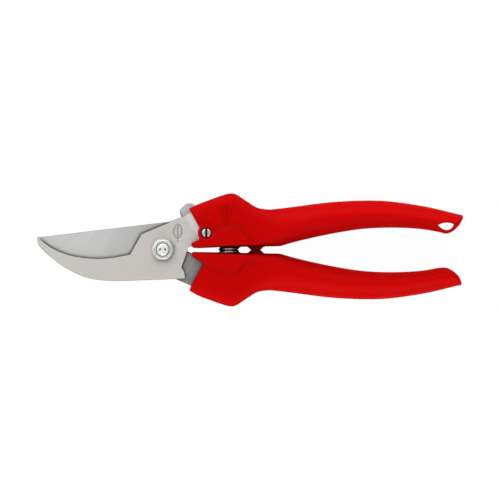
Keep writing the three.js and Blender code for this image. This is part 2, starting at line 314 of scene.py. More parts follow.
def drill(solid, x, y, radius, low, high):
    """The rings of a round hole with broken edges, from its top to its bottom."""
    edge = circle(x, y, radius + HOLE_BREAK)
    wall = circle(x, y, radius)
    heights = [(edge, high), (wall, high - HOLE_BREAK), (wall, low + HOLE_BREAK), (edge, low)]
    return solid.join([solid.add_loop(loop, z) for loop, z in heights])


def plate(loop, low, high, front, back, holes=(), front_depth=None, back_depth=None, back_loop=None):
    """A flat plate. `front` and `back` are the widths of its edge breaks, and the depths go with them."""
    solid = Solid()
    inward = normals(loop)
    front = np.broadcast_to(front, len(loop))[:, None]
    back = np.broadcast_to(back, len(loop))[:, None]
    front_depth = front[:, 0] if front_depth is None else front_depth
    back_depth = back[:, 0] if back_depth is None else back_depth
    back_loop = loop + inward * back if back_loop is None else back_loop
    edge = solid.join([
        solid.add_loop(loop + inward * front, high),
        solid.add_loop(loop, high - front_depth),
        solid.add_loop(loop, low + back_depth),
        solid.add_loop(back_loop, low),
    ])
    walls = [edge] + [drill(solid, *hole, low, high) for hole in holes]
    solid.cap([wall[0] for wall in walls])
    solid.cap([wall[-1] for wall in walls])
    return solid


def turned(x, y, profile, n=96):
    """A solid turned about a vertical axis from (radius, height) pairs; radius 0 is on the axis."""
    solid = Solid()
    loops = []
    for radius, height in profile:
        points = circle(x, y, radius, n) if radius else np.array([[x, y]])
        loops.append((points, height))
    solid.join([solid.add_loop(loop, height) for loop, height in loops])
    return solid


def ring_profile(inner, outer, low, high, edge):
    """The section of a flat ring with broken edges."""
    return [
        (inner, low + edge),
        (inner + edge, low),
        (outer - edge, low),
        (outer, low + edge),
        (outer, high - edge),
        (outer - edge, high),
        (inner + edge, high),
        (inner, high - edge),
        (inner, low + edge),
    ]


# ---------------------------------------------------------------- a surface from a field
def edge_ends(axis):
    """Slices that take the lower and the upper grid point of every edge along an axis."""
    low = [slice(None)] * 3
    high = [slice(None)] * 3
    low[axis] = slice(None, -1)
    high[axis] = slice(1, None)
    return tuple(low), tuple(high)


def across(axis):
    return [a for a in range(3) if a != axis]


def add_crossings(values, inside, axis, total, count):
    """Adds each crossing on an edge along the axis to the four cells round that edge."""
    low, high = edge_ends(axis)
    crossing = inside[low] != inside[high]
    fraction = np.where(crossing, values[low] / np.where(crossing, values[low] - values[high], 1), 0)
    place = [c[low].astype(float) for c in np.indices(values.shape)]
    place[axis] += fraction
    for sides in ((0, 0), (0, 1), (1, 0), (1, 1)):
        cut = [slice(None)] * 3
        for other, side in zip(across(axis), sides):
            cut[other] = slice(1, None) if side else slice(0, -1)
        cut = tuple(cut)
        hit = crossing[cut]
        count += hit
        for k in range(3):
            total[..., k] += np.where(hit, place[k][cut], 0)


def net_quads(inside, number, axis):
    """A quad round every edge along the axis that crosses the surface."""
    low, high = edge_ends(axis)
    starts_inside = inside[low]
    edge = np.argwhere(starts_inside != inside[high])
    for other in across(axis):
        edge = edge[(edge[:, other] > 0) & (edge[:, other] < inside.shape[other] - 1)]
    corners = []
    for offset in ((-1, -1), (0, -1), (0, 0), (-1, 0)):
        cell = edge.copy()
        cell[:, across(axis)] += offset
        corners.append(number[tuple(cell.T)])
    quads = np.stack(corners, 1)
    keep = starts_inside[tuple(edge.T)] == (axis != 1)
    quads[~keep] = quads[~keep][:, ::-1]
    return quads


def surface_net(values, origin, cell):
    """Points and quads of the surface where the values on a grid change sign."""
    inside = values < 0
    count = np.zeros(np.array(values.shape) - 1)
    total = np.zeros((*count.shape, 3))
    for axis in range(3):
        add_crossings(values, inside, axis, total, count)
    used = count > 0
    number = np.full(count.shape, -1)
    number[used] = np.arange(used.sum())
    points = origin + cell * total[used] / count[used][:, None]
    return points, np.vstack([net_quads(inside, number, axis) for axis in range(3)])


def settle(field, points, rounds=3, probe=0.03, least_slope=0.3):
    """Moves points onto the surface where the field is zero, by half a cell at most in each round."""
    points = points.copy()
    for _ in range(rounds):
        here = field(points)
        slope = [(field(points + probe * e) - field(points - probe * e)) / (2 * probe) for e in np.eye(3)]
        slope = np.stack(slope, 1)
        step = here[:, None] * slope / np.maximum((slope**2).sum(1), least_slope**2)[:, None]
        length = np.hypot(np.hypot(step[:, 0], step[:, 1]), step[:, 2])
        points -= step / np.maximum(length / (0.5 * CELL), 1)[:, None]
    return points


# ---------------------------------------------------------------- handles
UPPER_FRONT = (12.3, 19.2)
LOWER_FRONT = (12.45, 18.9)
OUTER_EDGE = [(16.7, 21.3), (22.4, 23.45), (28, 25.45), (31.7, 26.3), (34.5, 25.75), (39.2, 22.7)]
OUTER_EDGE += [(44.4, 19.6), (50, 18.8)]
GRIP_EDGE = [(50, 18.8), (56, 19.4), (61.7, 20.1), (78.5, 22.2), (95, 23), (108, 22.4), (124, 19.95)]
GRIP_EDGE += [(137.5, 16.75)]
INNER_EDGE = [(131.9, 7.4), (128.8, 8.25), (121.6, 9.48), (113, 10.1), (103.9, 10.2), (93.4, 9.62)]
INNER_EDGE += [(82.9, 8.08), (72.3, 6), (61.8, 3.56), (55, 1.58)]
GAP_EDGE = (48.2, 1.44)
RIM_START = (12.5, 19.2)
OUTER_START = (40, 22.2)
INNER_END = (36, 1.2)
UPPER_END = [(139.9, 16.3), (140.6, 15.6), (140, 13.6), (138.6, 11.3), (136.8, 9.4), (134.9, 8.1)]
UPPER_END += [(133.2, 7.5), (131.9, 7.45)]
LOWER_END = [(139.5, 16.4), (139.9, 15.6), (139.3, 13.7), (138.2, 11.8), (136.4, 10.1), (134.5, 8.9)]
LOWER_END += [(132.8, 8.15), (131.3, 8.05)]
UPPER_WING = [(42.6, 3), (39.7, 5.9), (37.6, 8.4), (35.5, 10.1), (32.1, 11), (28.4, 10.2), (24.8, 8.4)]
LOWER_WING = [(43.2, 4.7), (39.7, 5.7), (37.6, 7.1), (36.2, 8.8), (34, 10.5), (31, 10.7), (24.9, 8.7)]
RIDGE = [(36, 1.8), (44.8, 3.1), (55.9, 7.7), (62.5, 10.3), (71, 13), (80, 14.7), (90, 15.5), (100, 15.7)]
RIDGE += [(113, 15), (120, 14.1), (132, 12.1), (141, 10.3)]
LEAST_RIDGE = 0.27  # of the section's width, from its inner edge
GRIP_HALVES = [(40, 6.6), (70, GRIP_HALF), (120, GRIP_HALF), (141, 6.4)]
CORNER_RADII = [(12, 0.6), (20, 0.9), (30, 1.4), (60, 2.4)]
RECESS_REACH = 17.6
RECESS_HUB = 4.7
FIELD_LOW = (11.8, -0.6, GRIP_LOW - 0.5)
FIELD_HIGH = (141.6, 27.2, GRIP_HIGH + 0.5)


def mirrored(points):
    flipped = np.array(points, float)
    flipped[:, 1] = MIRROR_Y - flipped[:, 1]
    return flipped


def outer_part(start, end):
    """From the front corner round the outside and the handle's end, and back along the inner edge."""
    outline = Outline(*start).curve(*OUTER_EDGE).curve(*GRIP_EDGE[1:], end[0])
    return outline.curve(*end[1:], step=0.5).curve(*INNER_EDGE[1:]).line(*GAP_EDGE, step=2)


def upper_outline():
    outline = outer_part(UPPER_FRONT, UPPER_END)
    outline.line(28, 1.15, step=2).line(16.7, 0.65, step=2).line(14.4, 0.8)
    outline.curve((13.45, 1.8), (13.5, 3.05))
    outline.line(17.1, 4.8).line(17.4, 6).line(17.4, 9.9).line(16.8, 11)
    return outline.line(*UPPER_FRONT, step=2).array()


def lower_outline():
    outline = outer_part(LOWER_FRONT, LOWER_END)
    outline.line(28, 1.0, step=2).line(14.4, 0.78, step=2)
    outline.curve((13.7, 1.15), (13.5, 2), (13.9, 2.9), (15.2, 3.75))
    outline.line(19.1, 6.2, step=2).line(13.2, 16.6, step=2)
    return outline.line(*LOWER_FRONT).array()


def upper_wing():
    outline = Outline(15, -4).line(60, -4).line(46, 2.2)
    return outline.curve(*UPPER_WING, (15, 6)).array()


def lower_wing():
    outline = Outline(10, -4).line(60, -4).line(50, 4.5)
    return outline.curve(*LOWER_WING, (19.3, 6.1)).line(10, 0).array()


def upper_tang_slot():
    outline = Outline(8, 2.3).line(24.5, 2.3).line(25.1, 10.8).line(36, 11.1).line(62.2, 9.5)
    return outline.line(62.2, 15.7).line(34, 20.4).line(22, 20.2).line(8, 15).array()


def lower_tang_slot():
    outline = Outline(8, 1.65).line(24.5, 1.9).line(24.5, 11.3).line(36, 11.3)
    return outline.line(62.2, 9.5).line(62.2, 15.7).line(34, 20.4).line(22, 20.2).line(8, 14.5).array()


def lever_recess():
    return Outline(*SCREW).arc(*SCREW, RECESS_REACH, 58, 190, 24).array()


def lanyard_hole():
    outline = Outline(128.8, 11.45).curve((130.6, 9.85), (132.9, 9.15), (135.1, 9.9), (136.3, 11.8))
    return outline.curve((134.8, 12.4), (132.6, 12.6), (130.4, 12.2), (128.8, 11.45)).array()


def along(table, x):
    """A value that changes along the handle, from a table of (x, value)."""
    return np.interp(x, *np.array(table).T)


def cross_section(x, y, z, outer, inner):
    """The grip's section: a soft ridge along its middle, steeper towards the inner edge."""
    top = np.interp(x, outer[:, 0], outer[:, 1])
    bottom = np.interp(np.minimum(x, INNER_EDGE[0][0]), inner[:, 0], inner[:, 1])
    ridge = np.maximum(along(RIDGE, x), bottom + LEAST_RIDGE * (top - bottom))
    half = along(GRIP_HALVES, x)

    def side(depth, width, taper, power):
        share = depth / np.maximum(width, 0.8)
        return (z / (half * (1 - taper * np.clip(share, 0, 1)))) ** 2 + np.maximum(share, 0) ** power

    outward = side(y - ridge, top - ridge, 0.10, 2.4)
    inward = side(ridge - y, ridge - bottom, 0.24, 2.3)
    return (smooth_max(outward, inward, 0.02) - 1) * half / 2


def rounded_slab(depth, z, half, radius):
    """A flat body with rounded edges, from the depth inside its outline."""
    beside = radius - depth
    above = np.abs(z) - (half - radius)
    outside = np.hypot(np.maximum(beside, 0), np.maximum(above, 0))
    return np.minimum(np.maximum(beside, above), 0) + outside - radius


def stop_block(x, y, height, centre, half_length):
    """A block with sloping ends that stops short of the one on the other handle."""
    reach = MIRROR_Y / 2 + np.maximum(np.abs(x - centre) - half_length, 0)
    return smooth_max(smooth_max((reach - y) * 0.75, y - 3, 0.1), np.abs(height) - 2.6, 0.3)


class HandleField:
    """Negative inside the handle, zero on its surface."""

    def __init__(self, outline, wing, slot, slot_range, end, upper):
        self.outline = outline
        self.wing = wing
        self.slot = slot
        self.slot_low, self.slot_high = slot_range
        self.upper = upper
        self.rim = catmull([RIM_START, *OUTER_EDGE, *GRIP_EDGE[1:], end[0]])
        self.outer = catmull([OUTER_START, OUTER_EDGE[-2], *GRIP_EDGE, *end[:2]], 0.5)
        inner = catmull([*end[1:], *INNER_EDGE[1:], GAP_EDGE, INNER_END], 0.5)[::-1]
        self.inner = inner[np.argsort(inner[:, 0])]

    def __call__(self, points):
        x, y, z = points.T
        return self.at(x, y, z, self.maps(x, y))

    def maps(self, x, y):
        """What depends on the place along and across the handle only."""
        maps = {
            "depth": depth_inside(self.outline, x, y),
            "wing": depth_inside(self.wing, x, y),
            "slot": depth_inside(self.slot, x, y),
            "rim": distance_to(self.rim, x, y),
        }
        if self.upper:
            maps["recess"] = depth_inside(lever_recess(), x, y)
            maps["hole"] = depth_inside(lanyard_hole(), x, y)
        return maps

    def at(self, x, y, z, maps):
        height = z - MID_Z
        share = smooth_step(38, 62, x)
        body = self.shoulder(x, height, maps) * (1 - share) + self.grip(x, y, height, maps) * share
        for centre, half_length in (BUMPER, LIP):
            body = smooth_min(body, stop_block(x, y, height, centre, half_length), 0.5)
        if self.upper:
            body = self.cut_upper(body, x, y, z, maps)
        pocket = np.minimum(POCKET_RADIUS - np.hypot(x - SPRING_X, height), POCKET_DEPTH - y)
        slot = np.minimum(maps["slot"], np.minimum(z - self.slot_low + 0.1, self.slot_high + 0.1 - z))
        return smooth_max(smooth_max(body, pocket, 0.25), slot, 0.12)

    @staticmethod
    def shoulder(x, height, maps):
        """The flat front part, with its raised wing and its falling rim."""
        raised = WING_RAISE * smooth_step(-0.9, 0.9, maps["wing"]) * smooth_step(52, 42, x)
        drop = RIM_DROP * np.clip(1 - maps["rim"] / RIM_WIDTH, 0, 1) ** 2
        return rounded_slab(maps["depth"], height, SHOULDER_HALF + raised - drop, along(CORNER_RADII, x))

    def grip(self, x, y, height, maps):
        section = cross_section(x, y, height, self.outer, self.inner)
        rounding = END_ROUND * smooth_step(126, 133, x) * smooth_step(0.5, 5, np.abs(height))
        return smooth_max(section, -maps["depth"], 0.02 + rounding)

    @staticmethod
    def cut_upper(body, x, y, z, maps):
        """Adds the screw's boss, and cuts the screw's seat, the lever's recess and the lanyard hole."""
        around = np.hypot(x - SCREW[0], y - SCREW[1])
        above = np.abs(z - (MID_Z + BOSS_TOP) / 2) - (BOSS_TOP - MID_Z) / 2
        body = smooth_min(body, np.maximum(around - BOSS_RADIUS, above), 0.35)
        seat = np.minimum(HEAD_RADIUS + 0.25 - around, z - HEAD_BASE)
        shank = SCREW_RADIUS + 0.2 - around
        recess = np.minimum(np.maximum(maps["recess"], RECESS_HUB - around), COUNTER_LOW - z)
        body = smooth_max(body, maps["hole"], 0.8)
        return smooth_max(smooth_max(body, np.maximum(seat, shank), 0.2), recess, 0.2)


def handle_mesh(field):
    low = np.array(FIELD_LOW)
    size = np.ceil((np.array(FIELD_HIGH) - low) / CELL).astype(int)
    x, y, z = (low[k] + CELL * np.arange(size[k]) for k in range(3))
    gx, gy = np.meshgrid(x, y, indexing="ij")
    maps = {k: v[..., None] for k, v in field.maps(gx, gy).items()}
    values = field.at(gx[..., None], gy[..., None], z[None, None, :], maps)
    points, quads = surface_net(np.broadcast_to(values, tuple(size)), low, CELL)
    return settle(field, points), quads


def make_handles(plain_red, marked_red):
    counter = (COUNTER_LOW, COUNTER_HIGH)
    upper = HandleField(upper_outline(), upper_wing(), upper_tang_slot(), counter, UPPER_END, True)
    solid = Solid(*handle_mesh(upper))
    new_piece("upper_grip", solid, "counter_side", "upper_handle", marked_red)
    cutting = (CUTTING_LOW, CUTTING_HIGH)
    lower = HandleField(lower_outline(), lower_wing(), lower_tang_slot(), cutting, LOWER_END, False)
    points, quads = handle_mesh(lower)
    solid = Solid(mirrored(points), quads)
    new_piece("lower_grip", solid, "blade_side", "lower_handle", plain_red)


# ---------------------------------------------------------------- blades
HOOK_TOP = [(2.7, 12.95), (-10.2, 7.5), (-15.5, -2.0)]
HOOK_EDGE = [(-15.5, -2.0), (-23.8, -3.5), (-31, -3.95), (-38.2, -3.35), (-45.3, -1.8), (-52.5, 1.5)]
HOOK_EDGE += [(-57.3, 5.3)]
HOOK_TIP = [(-57.9, 6.1), (-58.4, 6.0), (-58.8, 5.4), (-58.85, 4.5)]
HOOK_BELLY = [(-58.85, 4.5), (-58.4, 2.9), (-57.2, 1), (-52.3, -3.6), (-45, -8.8), (-36.6, -12.8)]
HOOK_BELLY += [(-28.2, -14.4), (-19, -14.7)]
CUTTING_EDGE = [(-57.4, 5.7), (-50, -1.2), (-40, -6.1), (-30, -8), (-20, -8.4), (-9, -8.9)]
GRIND_LINE = [(-57.4, 6), (-47, 4.4), (-36, 2.6), (-25, 0.6), (-15, -2.6), (-9.6, -8.2)]
HEEL_RADIUS = 11.2
NOTCH_ANGLE = 38
NOTCH_HALF = 1.5
NOTCH_DEPTH = 2.4
EDGE_BREAK = 0.14
SHEAR_DEPTH = 0.9
CUTTING_LAND = 0.25  # what is left of the blade's thickness at its edge


def counter_loop():
    outline = Outline(62, 9.6).line(62, 15.6).line(34, 20.3).line(22, 20.1).line(13.4, 17.02)
    for x, y in HOOK_TOP:
        outline.line(x, y, step=1.5)
    outline.curve(*HOOK_EDGE[1:]).curve(*HOOK_TIP, *HOOK_BELLY[1:], step=0.4)
    outline.line(10.2, -13.6, step=2).curve((10.5, -13.3), (10.2, -10.7)).curve((9.6, -9.5), (8.85, -8.3))
    outline.line(11.5, -0.6, step=2).curve((11.75, 0.7), (12.6, 1.3), (13.8, 1.5)).line(13.9, 2.4)
    return outline.line(24.4, 2.4).line(25, 10.9).line(36, 11.2).array()


def make_counter_blade(steel):
    """The hook plate, with a long bevel on the edges that the blade shears against."""
    loop = counter_loop()
    shear_edge = np.vstack([np.array(HOOK_TOP), catmull(HOOK_EDGE)])
    shear = distance_to(shear_edge, *loop.T) < 0.05
    from_tip = np.hypot(*(loop - np.array(HOOK_BELLY[0])).T)
    bevel = np.clip(0.22 * from_tip, 0.12, 0.45)
    front = np.where(shear, bevel, np.clip(0.06 * from_tip, 0.05, EDGE_BREAK))
    depth = np.where(shear, SHEAR_DEPTH, EDGE_BREAK)
    holes = [(0, 0, HOLE_RADIUS), (*SCREW, SCREW_RADIUS + 0.3)]
    solid = plate(loop, COUNTER_LOW, COUNTER_HIGH, front, 0.05, holes, depth)
    new_piece("hook_plate", solid, "counter_side", "counter_blade", steel, 25)


def cutting_loop():
    outline = Outline(3.2, 13.03).line(-57.4, 5.85, step=4).line(*CUTTING_EDGE[0])
    outline.curve(*CUTTING_EDGE[1:]).curve((-2, -10.6), (6.2, -13.9), (13.2, -16.95)).line(22, -20.4)
    outline.line(34, -20.6).line(62, -15.9).line(62, -9.9).line(36, -11.7).line(24.3, -11.7)
    outline.line(24.3, -2.35).line(14.4, -2.15)
    half = math.degrees(NOTCH_HALF / HEEL_RADIUS)
    outline.arc(0, 0, HEEL_RADIUS, -3, NOTCH_ANGLE - half, 12)
    floor = HEEL_RADIUS - NOTCH_DEPTH
    outline.arc(0, 0, floor, NOTCH_ANGLE - 1.25 * half, NOTCH_ANGLE + 1.25 * half, 3)
    return outline.arc(0, 0, HEEL_RADIUS, NOTCH_ANGLE + half, 62, 6).array()


def make_cutting_blade(steel):
    """Ground at the back from the grind line down to a thin edge."""
    loop = cutting_loop()
    edge = np.vstack([[CUTTING_EDGE[0]], catmull(CUTTING_EDGE, 0.4)])
    sharp = distance_to(edge, *loop.T) < 0.1
    grind = np.vstack([[GRIND_LINE[0]], catmull(GRIND_LINE, 0.4)])
    along_edge = (loop[:, 0] - edge[0, 0]) / (edge[-1, 0] - edge[0, 0])
    along_grind = (grind[:, 0] - grind[0, 0]) / (grind[-1, 0] - grind[0, 0])
    target = np.stack([np.interp(along_edge, along_grind, grind[:, k]) for k in (0, 1)], 1)
    back_loop = loop + normals(loop) * EDGE_BREAK
    back_loop[sharp] = target[sharp]
    back_depth = np.where(sharp, CUTTING_HIGH - CUTTING_LOW - CUTTING_LAND, EDGE_BREAK)
    front = np.where(sharp, 0.03, EDGE_BREAK)
    heel_corner = (loop[:, 0] > HEEL_RADIUS - 0.1) & (loop[:, 0] < 15) & (loop[:, 1] > -3)
    front[heel_corner] = 0.45
    holes = [(0, 0, HOLE_RADIUS)]
    solid = plate(loop, CUTTING_LOW, CUTTING_HIGH, front, 0.1, holes, None, back_depth, back_loop)
    new_piece("curved_blade", solid, "blade_side", "cutting_blade", steel, 20)


# ---------------------------------------------------------------- pivot
NUT_CORNER = 1.07  # the turned corners' radius over the flats' distance from the axis
NUT_SLOPE = 0.22
BORE_STEPS = [(0.25, -0.04), (0.65, 0), (0.72, -0.12), (0.82, -0.12), (0.9, 0)]  # (beyond the bore, above)
THREADS = 19
THREAD_DEPTH = 0.22
DOME_STEPS = 8


def hexagon_ring(flats, n=96):
    """A hexagon with turned corners, and the radius at each of its points."""
    angles = 2 * np.pi * np.arange(n) / n
    from_flat = (angles + np.pi / 6) % (np.pi / 3) - np.pi / 6
    radius = np.minimum(flats / 2 / np.cos(from_flat), NUT_CORNER * flats / 2)
    turn = angles + np.pi / 2
    return np.stack([radius * np.cos(turn), radius * np.sin(turn)], 1), radius


def hex_prism(flats, low, high, bore, bevel_low, bevel_high):
    """A hexagon with sloping corners, and a chamfered bore with a groove round it if it has one."""
    solid = Solid()
    ring, radius = hexagon_ring(flats)
    turn = ring / radius[:, None]
    face = flats / 2 - 0.7
    drop = (radius - face) * NUT_SLOPE
    rings = []
    if bore:
        rings = [solid.add_loop(turn * bore, low + 0.6), solid.add_loop(turn * bore, high - 0.35)]
        rings += [solid.add_loop(turn * (bore + out), high + up) for out, up in BORE_STEPS]
    rings += [
        solid.add_loop(turn * (face - 0.05), high),
        solid.add_loop(turn * (face + 0.02), high - 0.04),
        solid.add_loop(ring, high - (drop if bevel_high else 0.1)),
        solid.add_loop(ring, low + (drop if bevel_low else 0.1)),
        solid.add_loop(turn * face, low),
    ]
    if bore:
        rings += [solid.add_loop(turn * (bore + 0.5), low), rings[0]]
    solid.join(rings)
    if not bore:
        solid.cap([rings[0]])
        solid.cap([rings[-1]])
    return solid


def make_nut(steel):
    solid = hex_prism(NUT_FLATS, NUT_LOW, NUT_HIGH, BOLT_RADIUS + 0.04, False, True)
    new_piece("hex_nut", solid, "counter_side", "pivot_nut", steel, 22)


def make_bolt(steel):
    """A threaded shank with a domed end, standing in a hexagon head."""
    thread_top = NUT_HIGH + 0.1
    pitch = (thread_top - 0.5 - WASHER_LOW) / THREADS
    root = WASHER_LOW - 1.0
    profile = [(0, root), (BOLT_RADIUS - 0.1, root), (BOLT_RADIUS, WASHER_LOW)]
    for i in range(THREADS):
        groove = THREAD_DEPTH if i % 2 else 0
        profile.append((BOLT_RADIUS - groove, WASHER_LOW + 0.3 + i * pitch))
    for i in range(DOME_STEPS):
        angle = math.radians(90 * i / DOME_STEPS)
        rise = (BOLT_HIGH - thread_top + 0.1) * math.sin(angle) ** 0.8
        profile.append(((BOLT_RADIUS - 0.12) * math.cos(angle), thread_top - 0.1 + rise))
    profile.append((0, BOLT_HIGH))
    solid = turned(0, 0, profile)
    solid.add(hex_prism(NUT_FLATS, BOLT_LOW, WASHER_LOW, 0, True, False))
    new_piece("hex_bolt", solid, "counter_side", "pivot_bolt", steel, 30)


def make_washer(steel):
    profile = ring_profile(HOLE_RADIUS, WASHER_RADIUS, WASHER_LOW, WASHER_HIGH - SLIDE_GAP, 0.12)
    washer = turned(0, 0, profile)
    new_piece("flat_washer", washer, "counter_side", "pivot_washer", steel, 30)


# ---------------------------------------------------------------- lock
BUSH_RADIUS = 2.2
BUSH_FLANGE = 3.9
BUSH_FLANGE_THICK = 1.1
LEVER_HUB = 4.1
WAVE = 0.07
WAVE_WASHER_HALF = 0.12


def lever_loop():
    outline = Outline(16.6, 9.7).curve((13.9, 11.7), (11.2, 13.6), (8.8, 15.3), step=1.2)
    outline.curve((8.0, 17.2), (8.2, 18.9), step=0.5)
    outline.curve((9.9, 20.5), (11.4, 21.75), (13.1, 21.75), (14.8, 21.0), step=0.5)
    outline.line(18.6, 15, step=2).line(22.6, 11.3, step=2)
    outline.arc(*SCREW, LEVER_HUB, 45, -163, 24).line(9.8, 6.2, step=2)
    outline.curve((9.5, 6.7), (9.6, 7.3), (10.5, 8.4), step=0.4)
    return outline.line(16.6, 9.7, step=2).array()


def make_lever(steel):
    solid = plate(lever_loop(), LEVER_LOW, LEVER_HIGH, 0.4, 0.4, [(*SCREW, BUSH_RADIUS + 0.07)])
    new_piece("thumb_lock", solid, "lock", "lock_lever", steel, 30)


def make_screw(steel):
    """A slotted cheese head: a disc with two half-round lands on it, over a plain shank."""
    solid = turned(*SCREW, [
        (0, SCREW_LOW),
        (SCREW_RADIUS - 0.2, SCREW_LOW),
        (SCREW_RADIUS, SCREW_LOW + 0.2),
        (SCREW_RADIUS, HEAD_BASE),
        (HEAD_RADIUS - 0.05, HEAD_BASE),
        (HEAD_RADIUS, HEAD_BASE + 0.05),
        (HEAD_RADIUS, SLOT_FLOOR),
        (0, SLOT_FLOOR),
    ])
    reach = math.degrees(math.acos(SLOT_HALF / HEAD_RADIUS))
    for side in (0, 180):
        land = np.array(arc_points(*SCREW, HEAD_RADIUS, side - reach, side + reach, 40))
        solid.add(plate(land, SLOT_FLOOR - 0.01, SCREW_HIGH, 0.08, 0.0005))
    new_piece("slotted_screw", solid, "counter_side", "lock_screw", steel, 30)


def make_bush(steel):
    """A flange at the back with a hub that the lever turns on."""
    flange_top = BUSH_LOW + BUSH_FLANGE_THICK
    bore = SCREW_RADIUS + 0.05
    solid = turned(*SCREW, [
        (bore, BUSH_LOW + 0.25),
        (bore + 0.25, BUSH_LOW),
        (BUSH_FLANGE - 0.3, BUSH_LOW),
        (BUSH_FLANGE, BUSH_LOW + 0.3),
        (BUSH_FLANGE, flange_top - 0.1),
        (BUSH_FLANGE - 0.1, flange_top),
        (BUSH_RADIUS, flange_top),
        (BUSH_RADIUS, BUSH_HIGH),
        (bore, BUSH_HIGH),
        (bore, BUSH_LOW + 0.25),
    ])
    new_piece("threaded_bush", solid, "counter_side", "lock_bush", steel, 30)


def make_wave_washer(steel):
    middle = sum(height_range("lock_washer")) / 2
    low, high = middle - WAVE_WASHER_HALF, middle + WAVE_WASHER_HALF
    solid = turned(*SCREW, ring_profile(BUSH_RADIUS + 0.1, 3.6, low, high, 0.03))
    waves = []
    for x, y, z in solid.points:
        angle = math.atan2(y - SCREW[1], x - SCREW[0])
        waves.append((x, y, z + WAVE * math.cos(3 * angle)))
    solid.points = waves
    new_piece("wave_washer", solid, "counter_side", "lock_washer", steel, 30)


# ---------------------------------------------------------------- spring
STEPS_PER_TURN = 40
WIRE_SIDES = 12
CLOSED_RATE = 0.92  # the end coils' pitch, as a share of the open one
CLOSED_TURNS = 1.6
END_TAPER = 14  # in steps


def coil_line():
    """The wire's centre line and the outward direction along it. The pitch closes towards both ends."""
    n = SPRING_TURNS * STEPS_PER_TURN
    turn = np.linspace(0, SPRING_TURNS, n + 1)
    opening = smooth_step(0, CLOSED_TURNS, turn)
    closing = smooth_step(SPRING_TURNS, SPRING_TURNS - CLOSED_TURNS, turn)
    rate = CLOSED_RATE + (1 - CLOSED_RATE) * np.minimum(opening, closing)
    climb = np.concatenate([[0], np.cumsum((rate[1:] + rate[:-1]) / 2)])
    y = MIRROR_Y / 2 + (SPRING_REACH - WIRE_RADIUS) * (1 - 2 * climb / climb[-1])
    angle = 2 * np.pi * (turn + SPRING_PHASE)
    x = SPRING_X + SPRING_RADIUS * np.cos(angle)
    z = MID_Z + SPRING_RADIUS * np.sin(angle)
    return np.stack([x, y, z], 1), np.stack([np.cos(angle), np.zeros(n + 1), np.sin(angle)], 1)


def wire_solid(centre, out):
    """A round wire along the line, ground thinner at both ends."""
    n = len(centre) - 1
    solid = Solid()
    upward = np.array([0.0, 1.0, 0.0])
    for i in range(n + 1):
        taper = min(1, 0.35 + i / END_TAPER, 0.35 + (n - i) / END_TAPER)
        for k in range(WIRE_SIDES):
            a = 2 * np.pi * k / WIRE_SIDES
            offset = out[i] * math.cos(a) + upward * math.sin(a) * taper
            solid.points.append(centre[i] + WIRE_RADIUS * offset)
    rings = np.arange((n + 1) * WIRE_SIDES).reshape(n + 1, WIRE_SIDES)
    solid.join(rings)
    solid.faces += [tuple(rings[0]), tuple(rings[-1])]
    return solid


def make_spring(steel):
    solid = wire_solid(*coil_line())
    spring = new_piece("coil_spring", solid, None, "return_spring", steel, 50)
    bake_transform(spring)


# ---------------------------------------------------------------- materials
class Nodes:
    """A node tree, with short calls for the nodes that are used here. Colours are (red, green, blue)."""

    def __init__(self, tree):
        self.tree = tree

    def node(self, kind, **inputs):
        node = self.tree.nodes.new(kind)
        for name, value in inputs.items():
            self.set(node.inputs[name.replace("_", " ")], value)
        return node

    def set(self, socket, value):
        if isinstance(value, bpy.types.NodeSocket):
            self.tree.links.new(value, socket)
        elif socket.type == "RGBA":
            socket.default_value = (*value, 1)
        else:
            socket.default_value = value

    def split(self, vector):
        return self.node("ShaderNodeSeparateXYZ", Vector=vector).outputs

    def vector(self, operation, a, b=None, scale=None):
        node = self.tree.nodes.new("ShaderNodeVectorMath")
        node.operation = operation
        self.set(node.inputs[0], a)
        if b is not None:
            self.set(node.inputs[1], b)
        if scale is not None:
            self.set(node.inputs["Scale"], scale)
        gives_number = operation in ("LENGTH", "DISTANCE", "DOT_PRODUCT")
        return node.outputs["Value"] if gives_number else node.outputs[0]

    def math(self, operation, a, b=0.0):
        node = self.tree.nodes.new("ShaderNodeMath")
        node.operation = operation
        self.set(node.inputs[0], a)
        self.set(node.inputs[1], b)
        return node.outputs[0]

    def plus(self, a, b):
        return self.math("ADD", a, b)

    def minus(self, a, b):
        return self.math("SUBTRACT", a, b)

    def size(self, a):
        return self.math("ABSOLUTE", a)

    def product(self, *values):
        total = values[0]
        for value in values[1:]:
            total = self.math("MULTIPLY", total, value)
        return total

    def step(self, value, low, high, to_low=0.0, to_high=1.0):
        """Runs smoothly from to_low to to_high as the value goes from low to high."""
        node = self.tree.nodes.new("ShaderNodeMapRange")
        node.interpolation_type = "SMOOTHSTEP"
        inputs = {"Value": value, "From Min": low, "From Max": high, "To Min": to_low, "To Max": to_high}
        for name, given in inputs.items():
            self.set(node.inputs[name], given)
        return node.outputs[0]

    def combine(self, x, y, z=0.0):
        return self.node("ShaderNodeCombineXYZ", X=x, Y=y, Z=z).outputs[0]

    def length(self, x, y):
        return self.vector("LENGTH", self.combine(x, y))

    def noise(self, at, scale, detail=3.0, roughness=0.55, stretch=None):
        if stretch is not None:
            at = self.vector("MULTIPLY", at, stretch)
        node = self.node("ShaderNodeTexNoise", Vector=at, Scale=scale, Detail=detail, Roughness=roughness)
        return node.outputs[0]

    def mix(self, amount, a, b):
        node = self.tree.nodes.new("ShaderNodeMix")
        node.data_type = "RGBA"
        self.set(node.inputs["Factor"], amount)
        self.set(node.inputs["A"], a)
        self.set(node.inputs["B"], b)
        return node.outputs["Result"]


